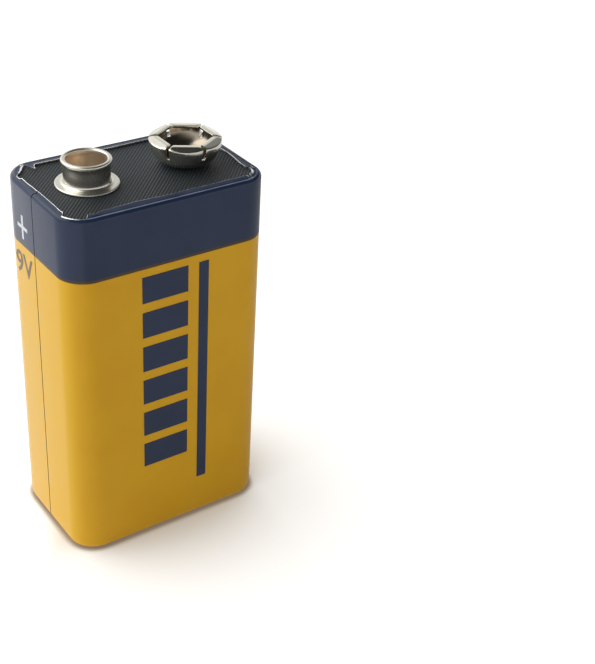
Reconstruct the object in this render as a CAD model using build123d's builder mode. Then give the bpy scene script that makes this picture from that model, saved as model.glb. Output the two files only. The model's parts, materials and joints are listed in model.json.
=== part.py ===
from build123d import *
from math import hypot, radians, sin, tan
import os

os.makedirs("parts", exist_ok=True)

# Nine volt battery with snap terminals. Millimetres, +Z up, origin at the centre of the base.
# Width runs along X, depth along Y. The positive terminal stands on the -X side.

# Case, measured over its printed coat
case_width = 26.0
case_depth = 16.8
case_height = 45.6
corner_radius = 3.3
top_bend = 1.0
base_bend = 0.8
sheet = 0.25
coat = 0.03
fit_gap = 0.05

# Folds of the jacket: a tab on each side at the top, a plain fold all round at the base
tab_reach = 1.35
tab_tip_radius = 0.4
corner_fold = 0.7
base_fold = 1.7
seam_gap = 0.12
seam_place = 0.4

# Printed fields
band_height = 7.9
plus_length = 3.0
plus_span = 2.5
plus_stroke = 0.45
plus_drop = 5.5
plus_place = 3.2
bar_count = 6
bar_width = 6.0
bar_height = 3.4
bar_pitch = 4.6
bar_place = -1.2
print_margin = 1.0
stripe_width = 1.3
stripe_length = 31.0
stripe_place = 3.9

# Terminal board and terminals
board_thickness = 1.3
terminal_pitch = 12.7
terminal_height = 3.18
terminal_sheet = 0.28

stud_head_radius = 2.86
stud_neck_radius = 2.69
stud_mouth_radius = 2.26
stud_head_height = 0.8
stud_lip = 0.2
stud_flange_radius = 3.65
stud_flange_edge = 0.12
stud_foot_fillet = 0.4

socket_mouth = 5.6
socket_belly_radius = 4.25
socket_belly_height = 2.85
socket_foot_radius = 2.5
socket_rim = 0.55
socket_lean = 19
socket_slit = 0.42
socket_slit_depth = 1.55
petal_count = 6

# Rivets that hold the terminals and their leads to the board
rivet_head_radius = 1.7
rivet_head_height = 0.32
rivet_shank_radius = 1.0
rivet_bore_radius = 0.55
rivet_tail_radius = 1.55
rivet_tail_height = 0.35
rivet_bevel = 0.12
rivet_gap = 0.03

# Cells, straps, leads and insulation
cells_across = 3
cell_gap = 0.04
cell_shoulder = 0.5
button_radius = 1.5
button_height = 0.6
liner_wall = 0.1
strap_thickness = 0.15
strap_width = 3.2
strap_overhang = 1.3
lead_width = 3.0
lead_overhang = 1.4
lead_riser = 0.4
insulator_thickness = 0.4
insulator_slot_gap = 0.2
base_plate_thickness = 0.5

# Metal sheet under the coat
metal_width = case_width - 2 * coat
metal_depth = case_depth - 2 * coat
metal_top = case_height - coat
metal_corner = corner_radius - coat
metal_top_bend = top_bend - coat

# Levels from the top down and from the base up
board_top = metal_top - sheet
board_bottom = board_top - board_thickness
lead_bottom = board_bottom - strap_thickness
tail_bottom = lead_bottom - rivet_tail_height
insulator_top = tail_bottom - fit_gap
insulator_bottom = insulator_top - insulator_thickness
cell_top = insulator_bottom - strap_thickness
plate_top = sheet + base_plate_thickness
base_insulator_top = plate_top + insulator_thickness
cell_bottom = base_insulator_top + strap_thickness
band_bottom = case_height - band_height
print_top = band_bottom - print_margin

# Rooms inside the case
cavity_width = metal_width - 2 * sheet
cavity_depth = metal_depth - 2 * sheet
cavity_corner = metal_corner - sheet
inset_width = cavity_width - 2 * fit_gap
inset_depth = cavity_depth - 2 * fit_gap
inset_corner = cavity_corner - fit_gap
liner_width = inset_width - 2 * liner_wall
liner_depth = inset_depth - 2 * liner_wall
liner_corner = inset_corner - liner_wall
card_width = liner_width - 2 * fit_gap
card_depth = liner_depth - 2 * fit_gap
card_corner = liner_corner - fit_gap

# Two rows of three cells fill the room inside the liner
cell_pitch = liner_width / cells_across
row_pitch = liner_depth / 2
cell_radius = min(cell_pitch, row_pitch) / 2 - cell_gap / 2
positive_x = -terminal_pitch / 2
negative_x = terminal_pitch / 2
rivet_hole_radius = rivet_shank_radius + rivet_gap


def finish(piece, name):
    """Label a finished piece and write its file."""
    piece.label = name
    export_step(piece, f"parts/{name}.step")


def bent_block(width, depth, low, high, corner, low_bend, high_bend):
    """Upright block with round corners and bent lower and upper edges."""
    with BuildPart() as block:
        with BuildSketch(Plane.XY.offset(low)):
            RectangleRounded(width, depth, corner)
        extrude(amount=high - low)
        fillet(block.edges().group_by(Axis.Z)[-1], radius=high_bend)
        fillet(block.edges().group_by(Axis.Z)[0], radius=low_bend)
    return block.part


def card(width, depth, corner, low, thickness):
    """Flat card with round corners."""
    with BuildPart() as piece:
        with BuildSketch(Plane.XY.offset(low)):
            RectangleRounded(width, depth, corner)
        extrude(amount=thickness)
    return piece.part


# The case's printed surface, its metal and the room inside are three nested blocks
printed_block = bent_block(
    case_width, case_depth, 0, case_height, corner_radius, base_bend, top_bend
)
metal_block = bent_block(
    metal_width, metal_depth, 0, metal_top, metal_corner, base_bend, metal_top_bend
)
cavity_block = bent_block(
    cavity_width,
    cavity_depth,
    sheet,
    board_top,
    cavity_corner,
    base_bend - sheet,
    metal_top_bend - sheet,
)
inset_block = bent_block(
    inset_width,
    inset_depth,
    sheet,
    board_top,
    inset_corner,
    base_bend - sheet,
    metal_top_bend - sheet,
)

# Opening in the folded top: the fold is narrow at the corners, with a wider tab on each side
opening_width = metal_width - 2 * corner_fold
opening_depth = metal_depth - 2 * corner_fold
tab_depth = 2 * (tab_reach - corner_fold)
with BuildSketch(Plane.XY.offset(board_top)) as rim_opening:
    RectangleRounded(opening_width, opening_depth, metal_corner - corner_fold)
    with GridLocations(0, opening_depth, 1, 2):
        RectangleRounded(
            metal_width - 2 * metal_corner, tab_depth, tab_tip_radius, mode=Mode.SUBTRACT
        )
    with GridLocations(opening_width, 0, 2, 1):
        RectangleRounded(
            tab_depth, metal_depth - 2 * metal_corner, tab_tip_radius, mode=Mode.SUBTRACT
        )

# The seam is a narrow butt gap down the -X side, through the wall and both folds
with BuildPart() as seam_cut:
    with BuildSketch(Plane.XY):
        with Locations((-case_width / 2, seam_place)):
            Rectangle(2 * (base_fold + tab_reach), seam_gap)
    extrude(amount=case_height)

# Jacket, one folded sheet
with BuildPart() as jacket:
    add(metal_block)
    add(cavity_block, mode=Mode.SUBTRACT)
    extrude(rim_opening.sketch, amount=2 * sheet, mode=Mode.SUBTRACT)
    with BuildSketch(Plane.XY):
        RectangleRounded(
            metal_width - 2 * base_fold,
            metal_depth - 2 * base_fold,
            metal_corner - base_fold,
        )
    extrude(amount=sheet, mode=Mode.SUBTRACT)
    add(seam_cut.part, mode=Mode.SUBTRACT)
finish(jacket.part, "jacket")

# Plus sign, laid flush in a window of the dark band on the -X side
with BuildPart() as plus_mark:
    side = Plane(origin=(-metal_width / 2, 0, 0), x_dir=(0, -1, 0), z_dir=(-1, 0, 0))
    with BuildSketch(side):
        with Locations((-plus_place, case_height - plus_drop)):
            Rectangle(plus_stroke, plus_length)
            Rectangle(plus_span, plus_stroke)
    extrude(amount=coat)
finish(plus_mark.part, "plus_mark")

# Dark printed band, from its lower edge up and over the folded rim
with BuildPart() as dark_band:
    add(printed_block)
    add(metal_block, mode=Mode.SUBTRACT)
    split(bisect_by=Plane.XY.offset(band_bottom), keep=Keep.TOP)
    extrude(rim_opening.sketch, amount=2 * sheet, mode=Mode.SUBTRACT)
    add(seam_cut.part, mode=Mode.SUBTRACT)
    add(plus_mark.part, mode=Mode.SUBTRACT)
finish(dark_band.part, "dark_band")

# Printed bars and stripe on the front face
front = Plane.XZ.offset(metal_depth / 2)
with BuildPart() as front_bars:
    with BuildSketch(front):
        with Locations((bar_place, print_top)):
            with GridLocations(0, bar_pitch, 1, bar_count, align=(Align.CENTER, Align.MAX)):
                Rectangle(bar_width, bar_height, align=(Align.CENTER, Align.MAX))
    extrude(amount=coat)
finish(front_bars.part, "front_bars")

with BuildPart() as front_stripe:
    with BuildSketch(front):
        with Locations((stripe_place, print_top)):
            Rectangle(stripe_width, stripe_length, align=(Align.CENTER, Align.MAX))
    extrude(amount=coat)
finish(front_stripe.part, "front_stripe")

# Terminal board, held down by the folded rim
with BuildPart() as terminal_board:
    add(inset_block)
    split(bisect_by=Plane.XY.offset(board_bottom), keep=Keep.TOP)
    with BuildSketch(Plane.XY.offset(board_bottom)):
        with GridLocations(terminal_pitch, 0, 2, 1):
            Circle(rivet_hole_radius)
    extrude(amount=board_thickness, mode=Mode.SUBTRACT)
finish(terminal_board.part, "terminal_board")

# Base plate, held up by the fold at the base
with BuildPart() as base_plate:
    add(inset_block)
    split(bisect_by=Plane.XY.offset(plate_top), keep=Keep.BOTTOM)
finish(base_plate.part, "base_plate")


def upright_plane(x, height):
    """Plane through a terminal's axis, facing the front."""
    return Plane(origin=(x, 0, height), x_dir=(1, 0, 0), z_dir=(0, -1, 0))


# Positive stud: a drawn tube with a rolled lip at its mouth and a flange at its foot
head_foot = terminal_height - stud_head_height
neck_bore_radius = stud_neck_radius - terminal_sheet
with BuildPart() as positive_stud:
    with BuildSketch(upright_plane(positive_x, board_top)):
        with BuildLine():
            Polyline(
                (rivet_hole_radius, 0),
                (stud_flange_radius, 0),
                (stud_flange_radius, stud_flange_edge),
                (stud_flange_radius - stud_flange_edge, terminal_sheet),
                (stud_neck_radius + stud_foot_fillet, terminal_sheet),
            )
            RadiusArc(
                (stud_neck_radius + stud_foot_fillet, terminal_sheet),
                (stud_neck_radius, terminal_sheet + stud_foot_fillet),
                stud_foot_fillet,
            )
            Polyline(
                (stud_neck_radius, terminal_sheet + stud_foot_fillet),
                (stud_neck_radius, head_foot),
                (stud_head_radius, head_foot + stud_lip),
                (stud_head_radius, terminal_height - stud_lip),
            )
            RadiusArc(
                (stud_head_radius, terminal_height - stud_lip),
                (stud_head_radius - stud_lip, terminal_height),
                -stud_lip,
            )
            Line(
                (stud_head_radius - stud_lip, terminal_height),
                (stud_mouth_radius + stud_lip, terminal_height),
            )
            RadiusArc(
                (stud_mouth_radius + stud_lip, terminal_height),
                (stud_mouth_radius, terminal_height - stud_lip),
                -stud_lip,
            )
            Polyline(
                (stud_mouth_radius, terminal_height - stud_lip),
                (stud_mouth_radius, head_foot + stud_lip),
                (neck_bore_radius, head_foot),
                (neck_bore_radius, terminal_sheet),
                (rivet_hole_radius, terminal_sheet),
                (rivet_hole_radius, 0),
            )
        make_face()
    revolve(axis=Axis((positive_x, 0, 0), (0, 0, 1)))
finish(positive_stud.part, "positive_stud")

# Negative socket: a round bowl closed by six petals that slope up to a level rim. The petals end
# in a six-sided mouth, and slits between them let the mouth open over a stud.
rim_reach = socket_mouth / 2 + socket_rim
lean_inset = terminal_sheet / sin(radians(socket_lean))
lean_reach = terminal_height / tan(radians(socket_lean))
petal_turn = 180 / petal_count


def petal_cone(top_reach):
    """Six-sided pyramid stump whose flat sides are the petals' sloping faces."""
    with BuildPart() as cone:
        for height, reach in ((0, top_reach + lean_reach), (terminal_height, top_reach)):
            with BuildSketch(Plane.XY.offset(board_top + height)):
                with Locations((negative_x, 0)):
                    RegularPolygon(
                        reach, petal_count, major_radius=False, rotation=petal_turn
                    )
        loft()
    return cone.part


def socket_form(thickness, top_reach):
    """Solid inside the socket's outer face, or a sheet's thickness further in."""
    foot = (socket_foot_radius - thickness, thickness)
    belly = (socket_belly_radius - thickness, socket_belly_height)
    form_top = terminal_height - thickness
    cone = petal_cone(top_reach)
    with BuildPart() as form:
        with BuildSketch(upright_plane(negative_x, board_top)):
            with BuildLine():
                TangentArc(belly, foot, tangent=(0, -1))
                Polyline(
                    foot,
                    (0, thickness),
                    (0, form_top),
                    (belly[0], form_top),
                    belly,
                )
            make_face()
        revolve(axis=Axis((negative_x, 0, 0), (0, 0, 1)))
        add(cone, mode=Mode.INTERSECT)
    return form.part


socket_outside = socket_form(0, rim_reach)
socket_inside = socket_form(terminal_sheet, rim_reach - lean_inset)
with BuildPart() as negative_socket:
    add(socket_outside)
    add(socket_inside, mode=Mode.SUBTRACT)
    with BuildSketch(Plane.XY.offset(board_top + terminal_height)):
        with Locations((negative_x, 0)):
            RegularPolygon(
                socket_mouth / 2, petal_count, major_radius=False, rotation=petal_turn
            )
    extrude(amount=-terminal_sheet, mode=Mode.SUBTRACT)
    with BuildSketch(Plane.XY.offset(board_top + terminal_height)):
        with Locations((negative_x, 0)):
            with PolarLocations(socket_belly_radius, petal_count, start_angle=petal_turn):
                Rectangle(socket_belly_radius, socket_slit)
    extrude(amount=-socket_slit_depth, mode=Mode.SUBTRACT)
    with BuildSketch(Plane.XY.offset(board_top)):
        with Locations((negative_x, 0)):
            Circle(rivet_hole_radius)
    extrude(amount=terminal_sheet, mode=Mode.SUBTRACT)
finish(negative_socket.part, "negative_socket")


def rivet_body(x):
    """Hollow rivet: a head on the terminal's floor, a shank through the board, a rolled tail."""
    head_low = board_top + terminal_sheet
    with BuildPart() as rivet:
        with BuildSketch(upright_plane(x, 0)):
            with Locations((rivet_bore_radius, tail_bottom)):
                Rectangle(
                    rivet_shank_radius - rivet_bore_radius,
                    head_low - tail_bottom,
                    align=(Align.MIN, Align.MIN),
                )
                Rectangle(
                    rivet_tail_radius - rivet_bore_radius,
                    rivet_tail_height,
                    align=(Align.MIN, Align.MIN),
                )
            with Locations((rivet_bore_radius, head_low)):
                Rectangle(
                    rivet_head_radius - rivet_bore_radius,
                    rivet_head_height,
                    align=(Align.MIN, Align.MIN),
                )
        revolve(axis=Axis((x, 0, 0), (0, 0, 1)))
        rims = rivet.edges().filter_by(GeomType.CIRCLE).group_by(Axis.Z)
        chamfer(rims[-1] + rims[0], length=rivet_bevel)
    return rivet.part


finish(rivet_body(positive_x), "positive_rivet")
finish(rivet_body(negative_x), "negative_rivet")

# Cell centres in the order of the circuit: it runs down one cell and up the next
cell_centres = [
    (column * cell_pitch, row * row_pitch / 2)
    for column, rows in ((-1, (-1, 1)), (0, (1, -1)), (1, (-1, 1)))
    for row in rows
]


def lead_body(cell_centre, rivet_x):
    """Bent strip from a cell's end, up through the card and under the board to a rivet."""
    cell_x, cell_y = cell_centre
    run_x = rivet_x - cell_x
    run_y = -cell_y
    run = hypot(run_x, run_y)
    along = Plane(origin=(cell_x, cell_y, 0), x_dir=(run_x, run_y, 0), z_dir=(run_y, -run_x, 0))
    riser_start = run * lead_riser
    riser_end = riser_start + strap_thickness
    with BuildPart() as lead:
        with BuildSketch(along):
            with BuildLine():
                Polyline(
                    (-lead_overhang, cell_top),
                    (riser_end, cell_top),
                    (riser_end, lead_bottom),
                    (run + rivet_tail_radius, lead_bottom),
                    (run + rivet_tail_radius, board_bottom),
                    (riser_start, board_bottom),
                    (riser_start, insulator_bottom),
                    (-lead_overhang, insulator_bottom),
                    close=True,
                )
            make_face()
        extrude(amount=lead_width / 2, both=True)
        with BuildSketch(Plane.XY.offset(lead_bottom)):
            with Locations((rivet_x, 0)):
                Circle(rivet_hole_radius)
        extrude(amount=strap_thickness, mode=Mode.SUBTRACT)
    return lead.part


def lead_slot(cell_centre, rivet_x):
    """Slot in the card for a lead's riser."""
    cell_x, cell_y = cell_centre
    run_x = rivet_x - cell_x
    run_y = -cell_y
    run = hypot(run_x, run_y)
    across = Plane(origin=(cell_x, cell_y, insulator_bottom), x_dir=(run_x, run_y, 0))
    with BuildPart() as slot:
        with BuildSketch(across):
            with Locations((run * lead_riser + strap_thickness / 2, 0)):
                Rectangle(
                    strap_thickness + 2 * insulator_slot_gap, lead_width + 2 * insulator_slot_gap
                )
        extrude(amount=insulator_thickness)
    return slot.part


finish(lead_body(cell_centres[0], positive_x), "positive_lead")
finish(lead_body(cell_centres[-1], negative_x), "negative_lead")

slots = [lead_slot(cell_centres[0], positive_x), lead_slot(cell_centres[-1], negative_x)]
with BuildPart() as top_insulator:
    add(card(card_width, card_depth, card_corner, insulator_bottom, insulator_thickness))
    add(slots, mode=Mode.SUBTRACT)
finish(top_insulator.part, "top_insulator")

base_insulator = card(card_width, card_depth, card_corner, plate_top, insulator_thickness)
finish(base_insulator, "base_insulator")

# Liner between the cells and the jacket
with BuildPart() as cell_liner:
    with BuildSketch(Plane.XY.offset(plate_top)):
        RectangleRounded(inset_width, inset_depth, inset_corner)
        RectangleRounded(liner_width, liner_depth, liner_corner, mode=Mode.SUBTRACT)
    extrude(amount=board_bottom - plate_top)
finish(cell_liner.part, "cell_liner")


def cell_body(centre, button_up):
    """Sealed cell: a can with a bevelled shoulder and a button at its positive end."""
    button_end = cell_top if button_up else cell_bottom
    flat_end = cell_bottom if button_up else cell_top
    upward = 1 if button_up else -1
    shoulder_end = button_end - upward * button_height
    with BuildPart() as cell:
        with BuildSketch(Plane.XY.offset(flat_end)):
            with Locations(centre):
                Circle(cell_radius)
        extrude(amount=shoulder_end - flat_end)
        rims = cell.edges().filter_by(GeomType.CIRCLE).sort_by(Axis.Z)
        chamfer(rims[-1] if button_up else rims[0], length=cell_shoulder)
        with BuildSketch(Plane.XY.offset(shoulder_end)):
            with Locations(centre):
                Circle(button_radius)
        extrude(amount=button_end - shoulder_end)
    return cell.part


for index, centre in enumerate(cell_centres):
    finish(cell_body(centre, index % 2 == 0), f"cell_{index + 1}")


def strap_body(first, second, low):
    """Flat strip welded across the ends of two neighbouring cells."""
    middle = ((first[0] + second[0]) / 2, (first[1] + second[1]) / 2)
    span_x = abs(second[0] - first[0])
    span_y = abs(second[1] - first[1])
    with BuildPart() as strap:
        with BuildSketch(Plane.XY.offset(low)):
            with Locations(middle):
                RectangleRounded(
                    span_x + (2 * strap_overhang if span_x else strap_width),
                    span_y + (2 * strap_overhang if span_y else strap_width),
                    strap_overhang / 2,
                )
        extrude(amount=strap_thickness)
    return strap.part


# The cells are joined in pairs below and above by turns
for index in range(len(cell_centres) - 1):
    below = index % 2 == 0
    strap = strap_body(
        cell_centres[index],
        cell_centres[index + 1],
        base_insulator_top if below else cell_top,
    )
    finish(strap, f"{'base' if below else 'top'}_strap_{index // 2 + 1}")
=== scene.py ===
import bmesh
import bpy
import json
import math
from mathutils import Matrix, Vector

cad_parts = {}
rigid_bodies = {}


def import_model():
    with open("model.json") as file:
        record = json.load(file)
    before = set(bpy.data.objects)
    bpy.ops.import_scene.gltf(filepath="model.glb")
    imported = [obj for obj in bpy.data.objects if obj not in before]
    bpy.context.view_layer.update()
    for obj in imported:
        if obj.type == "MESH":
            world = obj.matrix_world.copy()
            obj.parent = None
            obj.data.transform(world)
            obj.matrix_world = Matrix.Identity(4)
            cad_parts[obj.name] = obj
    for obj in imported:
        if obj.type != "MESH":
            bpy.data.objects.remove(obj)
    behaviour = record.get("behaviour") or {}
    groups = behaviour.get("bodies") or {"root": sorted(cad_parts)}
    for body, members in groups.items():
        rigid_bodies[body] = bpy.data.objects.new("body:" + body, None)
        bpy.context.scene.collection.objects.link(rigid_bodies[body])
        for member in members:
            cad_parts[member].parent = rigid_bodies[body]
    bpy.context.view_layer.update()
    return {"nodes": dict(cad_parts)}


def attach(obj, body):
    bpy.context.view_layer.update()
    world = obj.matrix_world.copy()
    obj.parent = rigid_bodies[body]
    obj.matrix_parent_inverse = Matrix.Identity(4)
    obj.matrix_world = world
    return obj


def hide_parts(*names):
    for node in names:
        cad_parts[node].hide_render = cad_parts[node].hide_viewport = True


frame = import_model()
scene = bpy.context.scene
mm = 0.001
print("frame loaded:", len(frame["nodes"]), "nodes")


def addObject(name, data):
    added = bpy.data.objects.new(name, data)
    scene.collection.objects.link(added)
    return added


# Camera at the photograph's viewing angle

cameraView = {
    "azimuth": -37.13,       # degrees from the front
    "elevation": 31.67,
    "roll": 3.49,
    "distance": 158.53 * mm,
    "target": Vector((16.02, -10.88, 24.61)) * mm,
    "focalPixels": 1288.29,
    "imageHeight": 664,
    "sensor": 36.0,
    "nearest": 0.01,
    "farthest": 10.0,
}


def makeCamera(view):
    azimuth, elevation, roll = (math.radians(view[key]) for key in ("azimuth", "elevation", "roll"))
    back = Vector((
        math.sin(azimuth) * math.cos(elevation),
        -math.cos(azimuth) * math.cos(elevation),
        math.sin(elevation),
    ))
    level = Vector((math.cos(azimuth), math.sin(azimuth), 0))
    upright = back.cross(level)
    right = level * math.cos(roll) + upright * math.sin(roll)
    up = upright * math.cos(roll) - level * math.sin(roll)
    data = bpy.data.cameras.new("camera")
    data.sensor_width = view["sensor"]
    data.lens = view["focalPixels"] * view["sensor"] / view["imageHeight"]  # the sensor spans the long side
    data.clip_start = view["nearest"]
    data.clip_end = view["farthest"]
    camera = addObject("camera", data)
    turn = Matrix((right, up, back)).transposed().to_4x4()
    camera.matrix_world = Matrix.Translation(view["target"] + back * view["distance"]) @ turn
    scene.camera = camera


makeCamera(cameraView)
print("camera placed")


# Node maths: a Value wraps a socket, and arithmetic on Values adds Math nodes to its tree

class NodeMaker:
    def __init__(self, tree):
        self.tree = tree

    def node(self, kind, settings=None, sockets=None):  # settings first, as they can change the sockets
        made = self.tree.nodes.new(kind)
        for name, setting in (settings or {}).items():
            setattr(made, name, setting)
        for key, value in (sockets or {}).items():
            self.feed(made.inputs[key], value)
        return made

    def feed(self, socket, value):
        if isinstance(value, Value):
            self.tree.links.new(value.socket, socket)
        else:
            socket.default_value = value

    def value(self, kind, settings=None, sockets=None, output=0):
        return Value(self, self.node(kind, settings, sockets).outputs[output])

    def math(self, operation, *values):
        return self.value("ShaderNodeMath", {"operation": operation}, dict(enumerate(values)))

    def vector(self, operation, *values):
        return self.value("ShaderNodeVectorMath", {"operation": operation}, dict(enumerate(values)))

    def measure(self, operation, first, second):  # a distance or a dot product
        sockets = {0: first, 1: second}
        return self.value("ShaderNodeVectorMath", {"operation": operation}, sockets, "Value")

    def compare(self, operation, first, second):
        settings = {"data_type": "FLOAT", "operation": operation}
        return self.value("FunctionNodeCompare", settings, {0: first, 1: second})

    def split(self, vector):
        made = self.node("ShaderNodeSeparateXYZ", sockets={0: vector})
        return [Value(self, output) for output in made.outputs]

    def join(self, x, y, z):
        return self.value("ShaderNodeCombineXYZ", sockets={0: x, 1: y, 2: z})

    def smooth(self, value, low, high):
        settings = {"interpolation_type": "SMOOTHSTEP"}
        return self.value("ShaderNodeMapRange", settings, {0: value, 1: low, 2: high})

    def atLeast(self, value, low):
        return self.math("MAXIMUM", value, low)

    def limit(self, value, low, high):
        return self.math("MINIMUM", self.atLeast(value, low), high)

    def blend(self, share, first, second):
        sockets = {0: share, 6: first, 7: second}
        return self.value("ShaderNodeMix", {"data_type": "RGBA"}, sockets, 2)

    def noise(self, vector, scale, detail, seed):
        sockets = {"Vector": vector, "W": seed, "Scale": scale, "Detail": detail}
        return self.value("ShaderNodeTexNoise", {"noise_dimensions": "4D"}, sockets)

    def store(self, geometry, name, kind, value):
        settings = {"data_type": kind, "domain": "POINT"}
        sockets = {"Geometry": geometry, "Name": name, "Value": value}
        return self.value("GeometryNodeStoreNamedAttribute", settings, sockets)

    def stored(self, name, kind):
        return self.value("GeometryNodeInputNamedAttribute", {"data_type": kind}, {"Name": name})

    def paint(self, geometry, material, selection=True):
        sockets = {"Geometry": geometry, "Selection": selection, "Material": material}
        return self.value("GeometryNodeSetMaterial", sockets=sockets)


class Value:
    def __init__(self, maker, socket):
        self.maker = maker
        self.socket = socket

    def __add__(self, other):
        return self.maker.math("ADD", self, other)

    def __radd__(self, other):
        return self.maker.math("ADD", other, self)

    def __sub__(self, other):
        return self.maker.math("SUBTRACT", self, other)

    def __rsub__(self, other):
        return self.maker.math("SUBTRACT", other, self)

    def __mul__(self, other):
        return self.maker.math("MULTIPLY", self, other)

    def __rmul__(self, other):
        return self.maker.math("MULTIPLY", other, self)

    def __truediv__(self, other):
        return self.maker.math("DIVIDE", self, other)

    def __rtruediv__(self, other):
        return self.maker.math("DIVIDE", other, self)

    def __neg__(self):
        return self.maker.math("MULTIPLY", self, -1.0)


def screenColour(red, green, blue):  # from the 0 to 255 that a screen shows
    shares = [level / 255 for level in (red, green, blue)]
    return tuple(s / 12.92 if s <= 0.04045 else ((s + 0.055) / 1.055) ** 2.4 for s in shares) + (1.0,)


# Materials: the last two numbers of each noise are its detail and its seed

def newMaterial(name):
    material = bpy.data.materials.new(name)
    material.use_nodes = True
    material.node_tree.nodes.clear()
    maker = NodeMaker(material.node_tree)
    place = maker.value("ShaderNodeTexCoord", output="Object")
    return material, maker, place


def finishMaterial(maker, sockets):
    shader = maker.value("ShaderNodeBsdfPrincipled", sockets=sockets)
    maker.node("ShaderNodeOutputMaterial", sockets={0: shader})


def bump(maker, height):
    return maker.value("ShaderNodeBump", sockets={"Height": height, "Distance": 1.0, "Strength": 1.0})


lacquer = {
    "cloudScale": 180.0,
    "cloudRange": (0.3, 0.75),
    "grainScale": 5200.0,
    "grainRange": (0.55, 0.9),
    "grainShare": 0.12,
    "grainRough": 0.06,
    "streakScale": 2400.0,
    "streakStretch": (1.0, 1.0, 0.12),
    "scuffScale": 900.0,
    "scuffRange": (0.46, 0.60),
    "scuffShare": 0.22,
    "scuffRough": 0.15,
    "peelScale": 2600.0,
    "peelDepth": 0.0000035,
    "swellScale": 110.0,
    "swellDepth": 0.000035,
    "bulge": 8.0,            # the narrow sides are a little full
    "foldScale": 420.0,
    "foldStretch": (1.0, 1.0, 0.07),
    "foldDepth": 0.000030,
    "litSideRange": (-12.9 * mm, -11.8 * mm),   # X, from the narrow side's lighter, yellower tone, painted light for the lit side, to the common one
    "footRange": (37.93 * mm, 38.13 * mm),   # Z, from where the dark print overlaps the yellow to all dark
    "refraction": 1.40,
    # a lighter blue for the fold's crest and tabs: partly wear, partly a painted highlight
    "wearAndSheenColour": screenColour(158, 168, 190),
    "crumpleScale": 1500.0,
    "crumpleDepth": 0.000045,
    "crumpleRough": 0.38,
}


def lacquerMaterial(name, colour, shade, scuff, roughness, side=None, foot=None):
    look = lacquer
    material, maker, place = newMaterial(name)
    x, y, z = maker.split(place)
    cloud = maker.noise(place, look["cloudScale"], 3.0, 1.0)
    grain = maker.noise(place, look["grainScale"], 2.0, 2.0)
    patches = maker.noise(place, look["scuffScale"], 4.0, 3.0)
    stretched = maker.vector("MULTIPLY", place, look["streakStretch"])
    streaks = maker.noise(stretched, look["streakScale"], 3.0, 4.0)
    scuffs = maker.smooth(streaks * patches, *look["scuffRange"])
    tone = maker.blend(maker.smooth(cloud, *look["cloudRange"]), colour, shade)
    # the narrow side gets a lighter, yellower tone: painted light for the side that faces the lamps
    if side:
        tone = maker.blend(1 - maker.smooth(x, *look["litSideRange"]), tone, side)
    if foot:
        tone = maker.blend(1 - maker.smooth(z, *look["footRange"]), tone, foot)
    tone = maker.blend(maker.smooth(grain, *look["grainRange"]) * look["grainShare"], tone, scuff)
    tone = maker.blend(scuffs * look["scuffShare"], tone, scuff)
    # the lighter tone on the fold's crest and tabs is partly wear and partly a painted highlight
    wear = maker.value("ShaderNodeAttribute", {"attribute_name": "wear"}, output="Fac")
    tone = maker.blend(wear, tone, look["wearAndSheenColour"])
    crumple = maker.value("ShaderNodeAttribute", {"attribute_name": "crumple"}, output="Fac")
    height = maker.noise(place, look["peelScale"], 2.0, 5.0) * look["peelDepth"]
    height = height + maker.noise(place, look["swellScale"], 1.0, 6.0) * look["swellDepth"]
    height = height - y * y * look["bulge"]
    upright = maker.vector("MULTIPLY", place, look["foldStretch"])
    height = height + maker.noise(upright, look["foldScale"], 1.0, 15.0) * look["foldDepth"]
    dents = maker.noise(place, look["crumpleScale"], 2.0, 16.0) * look["crumpleDepth"]
    rough = roughness + grain * look["grainRough"] + scuffs * look["scuffRough"]
    finishMaterial(maker, {
        "Base Color": tone,
        "Roughness": rough + crumple * look["crumpleRough"],
        "IOR": look["refraction"],
        "Normal": bump(maker, height + dents * crumple),
    })
    return material


metal = {
    "brushScale": 6000.0,
    "brushShare": 0.2,
    "brushRough": 0.05,
    "brushDepth": 0.0000003,
    "stainRange": (0.45, 0.75),
    "stainShare": 0.6,
    "stainRough": 0.07,
    "stainDepth": 0.000004,
}


def metalMaterial(name, colour, tarnish, roughness, stainScale=700.0, brushed=(1.0, 1.0, 1.0)):
    look = metal
    material, maker, place = newMaterial(name)
    brush = maker.noise(maker.vector("MULTIPLY", place, brushed), look["brushScale"], 3.0, 7.0)
    cloud = maker.noise(place, stainScale, 3.0, 8.0)
    stained = maker.smooth(cloud, *look["stainRange"])
    share = stained * look["stainShare"] + brush * look["brushShare"]
    finishMaterial(maker, {
        "Base Color": maker.blend(share, (*colour, 1.0), (*tarnish, 1.0)),
        "Metallic": 1.0,
        "Roughness": roughness + stained * look["stainRough"] + brush * look["brushRough"],
        "Normal": bump(maker, brush * look["brushDepth"] + cloud * look["stainDepth"]),
    })
    return material


cardLook = {
    "colour": screenColour(190, 171, 138),
    "fleck": screenColour(158, 137, 103),
    "fleckRange": (0.12, 0.4),
    "fibreScale": 2500.0,
    "fibreStretch": (1.0, 0.25, 1.0),
    "fibreDepth": 0.00001,
    "pulpScale": 750.0,
    "roughness": 0.7,
    "fibreRough": 0.1,
}


def cardMaterial(name, look):
    material, maker, place = newMaterial(name)
    fibre = maker.noise(maker.vector("MULTIPLY", place, look["fibreStretch"]), look["fibreScale"], 4.0, 9.0)
    pulp = maker.noise(place, look["pulpScale"], 3.0, 10.0)
    flecks = maker.smooth(fibre * pulp, *look["fleckRange"])
    finishMaterial(maker, {
        "Base Color": maker.blend(flecks, look["colour"], look["fleck"]),
        "Roughness": look["roughness"] + fibre * look["fibreRough"],
        "Normal": bump(maker, fibre * look["fibreDepth"]),
    })
    return material


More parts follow.
